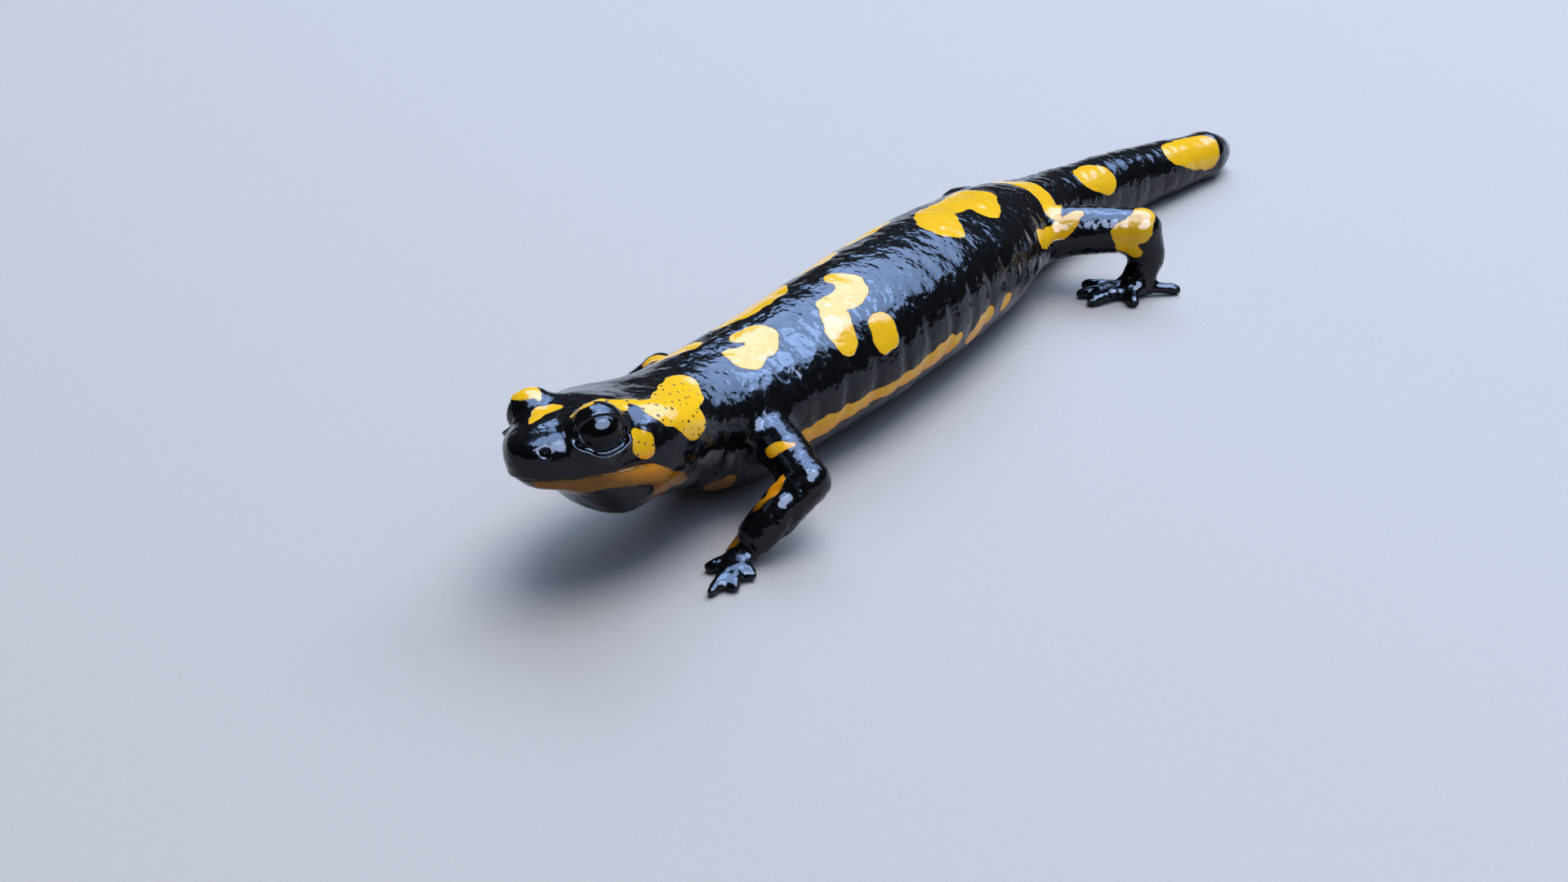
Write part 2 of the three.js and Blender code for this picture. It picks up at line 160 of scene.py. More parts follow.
def bodyFrame(distance):
    # the middle of the body with its forward, left and up directions
    distance = np.asarray(distance, float)
    heading = -spine.heading(distance)
    headShare = 1 - ease(distance, bodyShape["headLength"], bodyShape["pitchEnds"])
    pitch = mix(np.arcsin(heading[..., 2]), math.radians(bodyShape["headPitch"]), headShare)
    roll = math.radians(bodyShape["headRoll"]) * (
        1 - ease(distance, bodyShape["headLength"] - 4, bodyShape["rollEnds"])
    )
    forward = unit(heading * [1, 1, 0]) * np.cos(pitch)[..., None]
    forward[..., 2] = np.sin(pitch)
    level = unit(np.cross([0, 0, 1.0], forward))
    left = level * np.cos(roll)[..., None] + np.cross(forward, level) * np.sin(roll)[..., None]
    return spine.at(distance), forward, left, unit(np.cross(forward, left))


frameStep = 0.1
frameRows = bodyFrame(np.arange(0, spine.length + frameStep, frameStep))


def quickFrame(distance):
    place = np.clip(distance, 0, spine.length) / frameStep
    i = np.minimum(place.astype(int), len(frameRows[0]) - 2)
    t = (place - i)[:, None]
    return [mix(rows[i], rows[i + 1], t) for rows in frameRows]


def bodyPlace(points):
    # distance from the snout, and out to the left and up from the middle, of every point
    rough = spine.at(np.arange(0, spine.length, 1.0))
    distance = np.empty(len(points))
    for k in range(0, len(points), 20000):
        part = points[k:k + 20000]
        distance[k:k + 20000] = ((part[:, None] - rough) ** 2).sum(2).argmin(1)
    for _ in range(8):
        middle, forward, left, up = quickFrame(distance)
        distance = np.clip(distance - 0.9 * ((points - middle) * forward).sum(1), 0, spine.length)
    middle, forward, left, up = quickFrame(distance)
    away = points - middle
    return distance, (away * left).sum(1), (away * up).sum(1)


def girth(distance, column):
    rows = np.array(bodyShape["girth"], float)
    at, value = rows[:, 0], rows[:, column]
    slope = np.gradient(value, at)
    slope[1:-1] = (value[2:] - value[:-2]) / (at[2:] - at[:-2])
    x = np.clip(distance, at[0], at[-1])
    i = np.clip(np.searchsorted(at, x, "right") - 1, 0, len(at) - 2)
    span = at[i + 1] - at[i]
    t = (x - at[i]) / span
    lean = (t**3 - 2 * t**2 + t) * slope[i] + (t**3 - t**2) * slope[i + 1]
    return mix(value[i], value[i + 1], 3 * t**2 - 2 * t**3) + lean * span


def bodySize(distance):
    # half width, height and depth of the plain body
    distance = np.asarray(distance, float)
    tip = np.sqrt(np.clip((spine.length - distance) / bodyShape["tipRounding"], 0, 1))
    behind = np.clip(1 - distance / bodyShape["muzzle"], 0, 1)
    nose = np.clip(distance / 5, 0, 1)
    blunt = np.sqrt(nose * (2 - nose))
    _, wide, high, deep = bodyShape["girth"][0]
    onMuzzle = distance < bodyShape["muzzle"]
    muzzleWide = wide * (1 - behind ** bodyShape["fullness"]) ** bodyShape["bluntness"]
    muzzleHigh = mix(bodyShape["noseHigh"], high, ease(distance, 0, bodyShape["noseBlend"])) * blunt
    muzzleDeep = mix(bodyShape["noseDeep"], deep, ease(distance, 4, bodyShape["noseBlend"])) * blunt
    return (
        np.where(onMuzzle, muzzleWide, girth(distance, 1) * tip),
        np.where(onMuzzle, muzzleHigh, girth(distance, 2) * tip),
        np.where(onMuzzle, muzzleDeep, girth(distance, 3) * tip),
    )


def swelling(distance, upness, outness):
    # parotoid glands, cheeks and throat, and the fold behind the throat
    parotoid = bump(distance, 17.2, 4.6) * bump(outness, 0.82, 0.3) * ease(upness, -0.1, 0.45)
    cheek = 0.5 * bump(distance, 15, 4) * bump(upness, -0.15, 0.35)
    pouch = bump(distance, 12.8, 1.9) - 0.3 * bump(distance, 8.4, 1.8)
    throat = pouch * bump(upness, -1, 0.35)
    gularFold = -0.35 * bump(distance, 24, 1.6) * ease(-upness, 0.1, 0.7)
    return parotoid + cheek + throat + gularFold


def skinPoint(distance, angle):
    # a point of the plain body: angle from the left side up towards the back
    wide, high, deep = bodySize(distance)
    out, up = np.cos(angle), np.sin(angle)
    swell = np.minimum(wide, 1) * swelling(distance, up, np.abs(out))
    boxy = mix(0.88, 0.97, ease(distance, 10, 40))
    x = np.sign(out) * np.abs(out) ** boxy * (wide + swell)
    y = np.sign(up) * np.abs(up) ** boxy * (np.where(up > 0, high, deep) + swell)
    middle, forward, left, upwards = bodyFrame(distance)
    return middle + left * x[..., None] + upwards * y[..., None]


headForward, headLeft, headUp = bodyFrame(eyeShape["along"])[1:]
snout, *_, snoutUp = bodyFrame(0.0)
mouthFront = snout - snoutUp * mouth["drop"]


def headPoint(along, out, up, side=1):
    return mouthFront - headForward * along + headLeft * out * side + headUp * up


def headPlace(points):
    v = points - mouthFront
    return -(v @ headForward), v @ headLeft, v @ headUp


eyeMiddle = {side: headPoint(eyeShape["along"], eyeShape["out"], eyeShape["up"], side) for side in (1, -1)}

# The row's frame: the left eyeball of the frame tells how far the animal was moved.
low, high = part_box("eye_left")
stand = np.array((low + high) / 2) / mm - eyeMiddle[1]


# ---- the flesh, as closed shells that are then fused ----
def shell(rows, sides, place):
    # a closed loft: place gives a ring of points for each row between its two poles
    angles = np.linspace(0, 2 * np.pi, sides, endpoint=False)
    rings = np.array([place(k / rows, angles) for k in range(1, rows)])
    poles = [place(0.0, np.zeros(1))[0], place(1.0, np.zeros(1))[0]]
    points = np.vstack([rings.reshape(-1, 3), poles])
    count = len(rings)
    around = np.arange(sides)
    nextOne = (around + 1) % sides
    faces = []
    for k in range(count - 1):
        a, b = k * sides, (k + 1) * sides
        faces += list(zip(a + around, a + nextOne, b + nextOne, b + around))
    front, back = len(points) - 2, len(points) - 1
    faces += [(front, n, a) for a, n in zip(around, nextOne)]
    last = (count - 1) * sides
    faces += [(back, last + a, last + n) for a, n in zip(around, nextOne)]
    return points, faces


# the rings stand closer together near the snout, and a little near the tip of the tail
trunkRings = {"rows": 420, "sides": 128, "crowding": (0.028, 0.0112)}


def trunkShell():
    def place(share, angle):
        crowding = trunkRings["crowding"][0 if share < 0.5 else 1]
        distance = spine.length * (share - crowding * math.sin(2 * math.pi * share))
        return skinPoint(np.full(len(angle), distance), angle)
    return shell(trunkRings["rows"], trunkRings["sides"], place)


def tubeShell(points, radii, rows, sides, flat=1.0):
    path = Path(points)
    place = np.linspace(0, 1, len(radii))
    helper = np.array([0.3, 0.2, 1.0]) if flat == 1 else np.array([0.0, 0.0, 1.0])

    def ring(share, angle):
        share = 0.5 - 0.5 * math.cos(math.pi * share)
        roundEnd = math.sqrt(max(0.0, 1 - abs(2 * share - 1) ** 24))
        i = min(int(share * (len(radii) - 1)), len(radii) - 2)
        radius = mix(radii[i], radii[i + 1], float(ease(share, place[i], place[i + 1]))) * roundEnd
        along = path.heading(share * path.length)
        across = unit(np.cross(helper, along))
        over = np.cross(along, across)
        middle = path.at(share * path.length)
        return (
            middle
            + across * (np.cos(angle) * radius)[:, None]
            + over * (np.sin(angle) * radius * flat)[:, None]
        )
    return shell(rows, sides, ring)


def limbShells(name, limb):
    kind = limbSizes["arm" if name.startswith("arm") else "leg"]
    bend = len(limb["bones"]) // 2
    yield tubeShell(limb["bones"][:bend + 1], kind["bones"][:bend + 1], 40, 32)
    yield tubeShell(limb["bones"][bend:], kind["bones"][bend:], 40, 32)
    yield ballShell(np.array(limb["bones"][bend], float), kind["bones"][bend] * 1.03)
    wrist, palm = np.array(limb["bones"][-1], float), np.array(limb["palm"], float)
    thick = kind["digit"]
    tips = [np.array([x, y, thick * limbSizes["tipHeight"]]) for x, y in limb["digits"]]
    heel = mix(wrist, palm, -0.3)
    ball = mix(palm, np.mean(tips, axis=0), 0.3)
    ball[2] = 0.9
    radii = [kind["bones"][-1] * 0.9, kind["palm"] * 1.5, kind["palm"] * 1.15]
    yield tubeShell([heel, palm, ball], radii, 30, 28, limbSizes["flatness"])
    for tip in tips:
        root, knuckle = mix(palm, tip, 0.08), mix(palm, tip, limbSizes["knuckle"])
        root[2], knuckle[2] = thick, thick * 1.15
        yield tubeShell([root, knuckle, tip], [thick * k for k in (1.15, 1.06, 0.94, 0.9, 0.78)], 30, 20)


def ballShell(middle, radius):
    def place(share, angle):
        polar = math.pi * share
        ring = np.stack([np.cos(angle) * math.sin(polar), np.sin(angle) * math.sin(polar),
                         np.full(len(angle), math.cos(polar))], -1)
        return middle + ring * radius
    return shell(40, 48, place)


def meshFrom(name, points, faces):
    mesh = bpy.data.meshes.new(name)
    mesh.from_pydata([tuple(p) for p in points], [], [tuple(int(i) for i in f) for f in faces])
    mesh.update()
    return mesh


def evaluated(thing):
    # the object's mesh with its modifiers applied
    bpy.context.view_layer.update()
    graph = bpy.context.evaluated_depsgraph_get()
    return bpy.data.meshes.new_from_object(thing.evaluated_get(graph), depsgraph=graph)


fusing = {"voxel": 0.52, "creaseRounds": 24, "evenRounds": 4, "eyeRounds": 40, "eyeReach": 6.0}


def fusedFlesh():
    shells = [trunkShell()]
    for name, limb in limbs.items():
        shells += list(limbShells(name, limb))
    shells += [ballShell(middle, eyeShape["lidRadius"]) for middle in eyeMiddle.values()]
    points, faces, start = [], [], 0
    for p, f in shells:
        points.append(p)
        faces += [tuple(i + start for i in face) for face in f]
        start += len(p)
    source = bpy.data.objects.new("fleshShells", meshFrom("fleshShells", np.vstack(points), faces))
    bpy.context.scene.collection.objects.link(source)
    bm = bmesh.new()
    bm.from_mesh(source.data)
    bmesh.ops.recalc_face_normals(bm, faces=bm.faces)
    bm.to_mesh(source.data)
    bm.free()
    remesh = source.modifiers.new("fuse", "REMESH")
    remesh.mode = "VOXEL"
    remesh.voxel_size = fusing["voxel"]
    made = evaluated(source)
    bpy.data.objects.remove(source)
    return made


class Surface:
    # vertex positions as an array, with what smoothing needs

    def __init__(self, mesh):
        self.mesh = mesh
        count = len(mesh.vertices)
        flat = np.empty(count * 3, np.float32)
        mesh.vertices.foreach_get("co", flat)
        self.points = flat.reshape(-1, 3).astype(float)
        edges = np.empty(len(mesh.edges) * 2, np.int32)
        mesh.edges.foreach_get("vertices", edges)
        self.edges = edges.reshape(-1, 2)
        self.degree = np.bincount(self.edges.ravel(), minlength=count).astype(float)[:, None]

    def average(self, values):
        a, b = self.edges.T
        count = len(values)
        total = np.stack(
            [np.bincount(a, values[b, k], count) + np.bincount(b, values[a, k], count)
             for k in range(values.shape[1])], -1)
        return total / self.degree

    def normals(self):
        self.write()
        flat = np.empty(len(self.points) * 3, np.float32)
        self.mesh.vertex_normals.foreach_get("vector", flat)
        return flat.reshape(-1, 3).astype(float)

    def write(self):
        self.mesh.vertices.foreach_set("co", self.points.astype(np.float32).ravel())
        self.mesh.update()

    def even(self, rounds, share=None):
        # smoothing that keeps the volume
        for _ in range(rounds):
            for step in (0.5, -0.52):
                move = (self.average(self.points) - self.points) * step
                self.points += move if share is None else move * share[:, None]

    def fillCreases(self, rounds, share):
        # smooths only where the surface is hollow, which rounds the joins between fused shells
        for k in range(rounds):
            if k % 4 == 0:
                normal = self.normals()
            move = self.average(self.points) - self.points
            hollow = np.clip((move * normal).sum(1) / 0.02, 0, 1)[:, None]
            hollow = mix(hollow, self.average(hollow), 0.5) * share[:, None]
            self.points += move * hollow * 0.6


def subdivided(mesh, chosen):
    # halves the edges whose two ends are chosen
    bm = bmesh.new()
    bm.from_mesh(mesh)
    bm.verts.ensure_lookup_table()
    edges = [e for e in bm.edges if chosen[e.verts[0].index] and chosen[e.verts[1].index]]
    bmesh.ops.subdivide_edges(bm, edges=edges, cuts=1, use_grid_fill=True)
    bm.to_mesh(mesh)
    bm.free()
    mesh.update()
    return Surface(mesh)


def eyeAxes(side):
    # the way the eye looks, forwards across it, and up across it
    outwards, forwards, upwards = eyeShape["looks"]
    look = unit(headLeft * side * outwards + headForward * forwards + headUp * upwards)
    front = unit(np.cross(headUp, look)) * -side
    return look, front, unit(np.cross(look, front)) * side * -1


def eyePlace(points, side):
    # distance from the middle of the eye, way past the edge of its opening, and forwards, up and out from it
    look, front, over = eyeAxes(side)
    v = points - eyeMiddle[side]
    reach = np.maximum(np.linalg.norm(v, axis=1), 1e-6)
    x, y, z = v @ front, v @ over, v @ look
    angle = np.degrees(np.arccos(np.clip(z / reach, -1, 1)))
    around = np.maximum(np.hypot(x, y), 1e-6)
    slitHigh = np.where(y > 0, eyeShape["slitAbove"], eyeShape["slitBelow"])
    edge = 1 / np.hypot(x / around / eyeShape["slitWide"], y / around / slitHigh)
    return reach, np.radians(angle - edge) * eyeShape["lidRadius"], (x, y, z)


def lipHeight(along):
    line = Path([(a, u, 0) for a, u in mouth["line"]]).points
    return np.interp(along, line[:, 0], line[:, 1])


def nearEyes(points, reach):
    return np.minimum(*(np.linalg.norm(points - middle, axis=1) for middle in eyeMiddle.values())) < reach


def nearNostrils(points, reach):
    near = [np.linalg.norm(points - headPoint(nostril["along"], nostril["out"], nostril["up"], side), axis=1)
            for side in (1, -1)]
    return np.minimum(*near) < reach


def nearHands(points):
    close = np.zeros(len(points), bool)
    for limb in limbs.values():
        middle = mix(np.array(limb["palm"]), np.append(np.mean(limb["digits"], axis=0), 0.6), 0.5)
        close |= np.linalg.norm(points - middle, axis=1) < 8.5
    return close & (points[:, 2] < 3.6)


def onMouth(points, width):
    along, out, up = headPlace(points)
    return (np.abs(up - lipHeight(along)) < width) & (along < mouth["end"] + 1) & (along > -3)


print("fusing the flesh")
flesh = Surface(fusedFlesh())
flesh.even(fusing["evenRounds"])
flesh.fillCreases(fusing["creaseRounds"], mix(1.0, 0.25, nearHands(flesh.points)))
flesh.fillCreases(fusing["eyeRounds"], nearEyes(flesh.points, fusing["eyeReach"]).astype(float))
flesh.write()

print("finer skin on the head, hands and feet")
distance, out, up = bodyPlace(flesh.points)
fine = (distance < 26) & (np.hypot(out, up) < 14) | nearHands(flesh.points)
flesh = subdivided(flesh.mesh, fine)
flesh.even(3, share=np.clip((bodyPlace(flesh.points)[0] < 27) + nearHands(flesh.points), 0, 1).astype(float))
flesh.write()
fine = nearEyes(flesh.points, 4.2) | onMouth(flesh.points, 0.5) | nearNostrils(flesh.points, 1.6)
flesh = subdivided(flesh.mesh, fine)
flesh.even(3, share=(nearEyes(flesh.points, 4.4) | onMouth(flesh.points, 0.6)).astype(float))
flesh.write()
flesh = subdivided(flesh.mesh, nearNostrils(flesh.points, 1.1))
print("skin vertices", len(flesh.points), "faces", len(flesh.mesh.polygons))


# ---- sculpting ----
def limbPlace(points):
    # nearest limb: distance past its surface, and share of the way from the shoulder or hip
    past = np.full(len(points), 99.0)
    share = np.zeros(len(points))
    for name, limb in limbs.items():
        kind = limbSizes["arm" if name.startswith("arm") else "leg"]
        path = Path(limb["bones"])
        for t in np.linspace(0, 1, 60):
            radius = np.interp(t * 4, range(5), kind["bones"])
            far = np.linalg.norm(points - path.at(t * path.length), axis=1) - radius
            closer = far < past
            past[closer], share[closer] = far[closer], t
    return past, share


def roughness(points, size, seed):
    offset = Vector((seed * 17.3, seed * -5.1, seed * 9.7))
    return np.array([noise.noise(Vector(p) / size + offset) for p in points])


skinRelief = {
    "grooves": 12, "firstGroove": 41, "lastGroove": 98,
    "grooveDepth": 0.27, "grooveLean": 1.2, "ribSwell": 0.1,
    "throatFold": (24.2, 0.55, 0.4), "neckFold": (27.5, 0.5, 0.18),  # distance from the snout, width, depth
    "tailFolds": (114, 158), "tailFoldStep": 4.2, "tailFoldDepth": 0.12,
    "glandRow": 2.6, "glandStep": 2.5, "glandHeight": 0.12,
    "limbLength": 22, "wrinkleStep": 1.15, "wrinkleDepth": 0.09,
    "waves": [(7.0, 0.16), (2.6, 0.10), (1.3, 0.05)],  # size and height of the skin's unevenness
}


def ribRelief(distance, upness):
    # costal grooves, which lean back as they rise, and the swell of the flank between them
    r = skinRelief
    spacing = (r["lastGroove"] - r["firstGroove"]) / (r["grooves"] - 1)
    onRibs = ease(distance, r["firstGroove"] - 3, r["firstGroove"]) * (
        1 - ease(distance, r["lastGroove"], r["lastGroove"] + 3))
    slant = distance - r["grooveLean"] * upness
    crease = np.cos(np.pi * (slant - r["firstGroove"]) / spacing) ** 8
    groove = r["grooveDepth"] * crease * bump(upness, -0.05, 0.62)
    return onRibs * (r["ribSwell"] * bump(upness, 0.0, 0.5) - groove)


def glandRelief(distance, out, up):
    # a row of low glands on each side of the ridge of the back
    r = skinRelief
    aside = np.abs(np.abs(out) - r["glandRow"])
    alongRow = np.abs((distance / r["glandStep"]) % 1 - 0.5) * r["glandStep"]
    onBack = ease(distance, 27, 32) * (1 - ease(distance, 140, 150)) * (up > 0)
    return r["glandHeight"] * np.exp(-(aside**2 + alongRow**2) / 0.5) * onBack


def foldRelief(distance, out, upness):
    # the folds behind the throat and on the side of the neck, and the shallow rings of the tail
    r = skinRelief
    place, width, depth = r["throatFold"]
    throat = depth * bump(distance, place + 1.2 * np.abs(out) / 9, width) * ease(-upness, -0.15, 0.5)
    place, width, depth = r["neckFold"]
    neck = depth * bump(distance, place - 0.8 * upness, width) * bump(upness, -0.3, 0.55)
    first, last = r["tailFolds"]
    onTail = ease(distance, first, first + 4) * (1 - ease(distance, last - 8, last))
    rings = np.cos(np.pi * distance / r["tailFoldStep"]) ** 10
    return -throat - neck - r["tailFoldDepth"] * onTail * rings * bump(upness, 0, 0.6)


def wrinkleRelief(points, past, share):
    # wrinkles across the limbs, deepest at the elbow, knee, wrist and ankle
    r = skinRelief
    bend = bump(share, 0.5, 0.16) + 0.8 * bump(share, 0.93, 0.07) + 0.35
    phase = share * (r["limbLength"] / r["wrinkleStep"]) + 0.35 * roughness(points, 3.0, 7)
    return -r["wrinkleDepth"] * bend * (0.5 + 0.5 * np.cos(2 * np.pi * phase)) ** 3 * (past < 1.2)


def unevenness(points, distance):
    calm = (1 - 0.7 * nearEyes(points, 3.9)) * mix(0.7, 1.0, ease(distance, 14, 30))  # on the lids and head
    waves = enumerate(skinRelief["waves"])
    return sum(roughness(points, size, k + 1) * height for k, (size, height) in waves) * calm


def carve():
    points = flesh.points
    distance, out, up = bodyPlace(points)
    wide, high, deep = bodySize(distance)
    side = np.where(up > 0, high, deep)
    upness = np.clip(up / np.maximum(side, 0.5), -1.3, 1.3)
    past, share = limbPlace(points)
    offBody = np.hypot(out, up) - np.hypot(wide, side) / math.sqrt(2)
    onLimb = ease(offBody, 0.8, 3.0) * (past < 2.5) * (distance > 27)
    move = (ribRelief(distance, upness) + glandRelief(distance, out, up)) * (1 - onLimb)
    move += foldRelief(distance, out, upness)
    move += wrinkleRelief(points, past, share) * onLimb
    move += unevenness(points, distance)
    flesh.points = points + flesh.normals() * move[:, None]


def carveMouth():
    along, out, up = headPlace(flesh.points)
    d = up - lipHeight(along)
    onHead = (1 - ease(along, mouth["end"] - 1.6, mouth["end"] + 0.6)) * (along < 16) * (np.abs(out) < 12)
    move = sum(height * bump(d, place, width) for height, place, width in mouth["relief"]) * onHead
    corner = np.hypot(along - mouth["end"], d)
    move -= mouth["cornerDepth"] * bump(corner, 0, mouth["cornerWidth"]) * (np.abs(out) > 5)
    flesh.points = flesh.points + flesh.normals() * move[:, None]


def carveNostrils():
    for side in (1, -1):
        away = flesh.points - headPoint(nostril["along"], nostril["out"], nostril["up"], side)
        far = np.linalg.norm(away, axis=1)
        below = ease(-(away @ headUp) / np.maximum(far, 1e-6), -0.2, 0.6)
        far -= far.min()
        move = -nostril["depth"] * bump(far, 0, nostril["radius"])
        move += nostril["rim"] * below * bump(far, nostril["radius"] * 1.9, 0.17)
        flesh.points = flesh.points + flesh.normals() * move[:, None]


lidShape = {
    "hidden": 1.5,  # how near to the middle of the eye the skin behind the eyeball is pushed
    "upper": {"rim": 0.36, "roll": 0.30}, "lower": {"rim": 0.06, "roll": 0.26},
    "crease": (2.28, 2.85),  # below the lower lid and beside it, out from the line of sight
    "creaseWobble": 0.15, "shelf": 0.5, "ledge": 0.8, "ledgeFades": (2.8, 4.4),
}


def carveLids():
    # both lids roll back from the eyeball; the lower one hugs it, and below that the cheek makes a ledge
    f, ball = lidShape, eyeShape["ballRadius"] + 0.03
    for side in (1, -1):
        look, front, over = eyeAxes(side)
        reach, past, (x, y, z) = eyePlace(flesh.points, side)
        near = reach < eyeShape["lidRadius"] + 1.6
        aside = np.maximum(np.hypot(x, y), 1e-6)
        lower = ease(-y / aside, 0.1, 0.6)
        rim, roll = (mix(f["upper"][name], f["lower"][name], lower) for name in ("rim", "roll"))
        inner = f["hidden"] + (ball - f["hidden"]) * ease(past, -0.5, -0.08) + rim * ease(past, -0.08, roll)
        radius = np.where(near, mix(inner, reach, ease(past, roll, roll + 0.5)), reach)
        rolled = (flesh.points - eyeMiddle[side]) * (radius / reach)[:, None]

        wobble = roughness(flesh.points, 1.2, 31)
        crease = mix(f["crease"][1], f["crease"][0], ease(-y / aside, 0.35, 0.95))
        crease = crease + f["creaseWobble"] * wobble
        hug = np.sqrt(np.maximum((ball + f["lower"]["rim"]) ** 2 - aside**2, 0.04))
        raised = z + f["ledge"] * (1 + 0.3 * wobble) * (1 - ease(aside, *f["ledgeFades"]))
        depth = mix(hug, raised, np.clip((aside - crease) / f["shelf"], 0, 1))
        ledge = x[:, None] * front + y[:, None] * over + depth[:, None] * look
        share = lower * ease(past, 0.05, 0.3) * near * ease(z, 0.2, 0.8)
        flesh.points = eyeMiddle[side] + mix(rolled, ledge, share[:, None])


print("sculpting folds, glands, mouth, nostrils and lids")
carve()
carveMouth()
carveNostrils()
carveLids()
flesh.points[:, 2] = np.maximum(flesh.points[:, 2], 0.0)

# ---- markings ----
# Each is a chain of round dabs that melt together: distance from the snout, turn from the ridge of the back
# in degrees (plus is left), radius.
bodyMarks = {
    "rightLid": [(6.9, -31, 0.9), (7.7, -28, 1.0), (8.5, -31, 0.7)],
    "snout": [(4.2, -8, 0.4), (5.2, -10, 0.8), (6.3, -11, 1.05), (7.2, -5, 0.95), (7.6, 0, 0.6)],
    "brow": [(6.3, 28, 0.2), (6.9, 29, 0.3), (7.7, 28, 0.3), (9.3, 21, 0.35), (10.6, 19, 0.3),
             (11.6, 20, 0.4)],
    "parotoid": [(11.2, 25, 0.6), (11.9, 35, 0.75), (12.0, 30, 1.0), (13.3, 30, 0.6), (14.4, 35, 0.75),
                 (15.0, 43, 1.45), (16.0, 49, 1.9), (19.6, 42, 2.5), (22.4, 32, 2.5), (24.2, 22, 1.9)],
    "parotoidLow": [(17.5, 55, 2.0), (19.6, 60, 2.3), (19.1, 68, 1.8)],
    "cheek": [(11.0, 67, 0.8), (11.5, 76, 1.45), (11.7, 83, 1.15)],
    "jaw": [(1.5, 158, 0.3), (2.9, 153, 0.9), (4.0, 150, 1.5), (6.0, 150, 1.7), (7.2, 126, 1.2),
            (9.0, 113, 1.3), (11.0, 106, 1.5), (13.5, 111, 1.2), (16.5, 119, 1.0), (18.4, 124, 0.7)],
    "jawLip": [(4.6, 138, 1.0), (5.6, 131, 1.4), (6.4, 127, 1.6), (7.4, 120, 1.5)],
    "jawFront": [(4.5, 175, 1.9), (6.5, 168, 1.9)],
    "jawBack": [(14.0, 117, 1.3), (14.8, 127, 1.3), (15.2, 135, 1.1), (14.6, 141, 0.8)],
    "chest": [(27.0, 142, 1.2), (28.3, 137, 1.7), (29.0, 146, 1.8)],
    "flank": [(37.0, 113, 1.2), (39.0, 109, 1.5), (42.8, 106, 1.4), (46.0, 105, 1.15), (49.8, 104, 0.95),
              (53.5, 105, 0.95), (57.0, 105, 1.0), (60.2, 104, 1.15), (63.7, 104, 1.5), (66.5, 102, 1.45),
              (68.5, 100, 1.0)],
    "flankLobe": [(73.2, 110, 1.4), (75.0, 105, 1.7), (77.2, 101, 1.5)],
    "flankEnd": [(82.2, 103, 1.3), (83.1, 99, 1.1)],
    "backA": [(38.2, -1, 1.4), (40.2, 2, 1.5), (40.3, 9, 1.8), (38.7, 17, 1.9), (36.3, 20, 1.8),
              (35.0, 23, 1.8), (34.4, 11, 1.35)],
    "backB": [(56.8, 0, 1.6), (57.0, 9, 1.9), (56.0, 17, 2.0), (53.6, 20, 1.9), (51.2, 18, 1.7),
              (50.0, 29, 1.9), (48.9, 39, 1.85), (48.5, 49, 1.75)],
    "backC": [(54.8, 52, 2.0), (54.4, 60, 2.05), (53.4, 64, 1.4)],
    "backD": [(83.5, -6, 2.6), (81.0, 2, 3.0), (78.9, 12, 3.2), (78.8, 19, 2.1)],
    "backE": [(85.5, -4, 2.5), (89.8, -3, 2.8), (94.6, -7, 2.7), (94.8, 2, 2.6), (92.0, 12, 2.5),
              (89.8, 20, 2.1)],
    "farA": [(29.4, -37, 1.1), (31.6, -31, 1.3), (33.2, -27, 1.6)],
    "farB": [(41.5, -36, 1.9), (44.5, -31, 2.4), (46.8, -30, 2.5), (50.0, -32, 2.4), (52.0, -36, 1.8)],
    "farC": [(59.0, -38, 1.4), (61.5, -37, 2.2), (64.2, -38, 2.0)],
    "farD": [(70.0, -39, 1.9), (73.5, -38, 2.4), (77.0, -36, 2.2)],
    "tailBand": [(105.0, -14, 1.4), (106.8, 6, 1.9), (107.6, 17, 2.2), (107.2, 33, 2.3), (106.2, 46, 2.1),
                 (104.6, 56, 1.8)],
    "tailA": [(123.2, 30, 2.3), (125.6, 34, 2.9), (126.8, 42, 2.7)],
    "tailB": [(147.0, 36, 2.3), (151.5, 42, 3.2), (155.4, 48, 3.4), (155.6, 64, 2.6)],
    # the side that faces away
    "rightParotoid": [(14.0, -50, 1.0), (16.0, -54, 1.7), (19.0, -54, 2.2), (22.5, -50, 1.6)],
    "rightCheek": [(11.5, -78, 1.4), (13.5, -86, 1.2)],
    "rightJaw": [(5.0, -146, 0.7), (8.0, -124, 0.8), (11.0, -110, 1.0), (14.0, -112, 1.0)],
    "rightFlank": [(36.0, -104, 1.2), (42.0, -108, 1.0), (48.0, -105, 1.1), (53.0, -104, 1.6)],
    "rightFlankB": [(62.0, -106, 1.6), (66.0, -103, 1.9)],
    "rightFlankC": [(76.0, -108, 1.3), (80.0, -102, 1.6), (85.0, -98, 1.2)],
    "rightHip": [(94.0, -46, 2.0), (98.0, -40, 1.8)],
    "rightTailA": [(116.0, -46, 1.8), (120.0, -52, 2.0)],
    "rightTailB": [(135.0, -44, 1.9), (139.0, -50, 1.9)],
    "belly": [(52.0, 176, 1.2), (55.0, 168, 1.0)],
    "throatSpot": [(20.0, 168, 1.1), (21.5, 176, 0.9)],
}
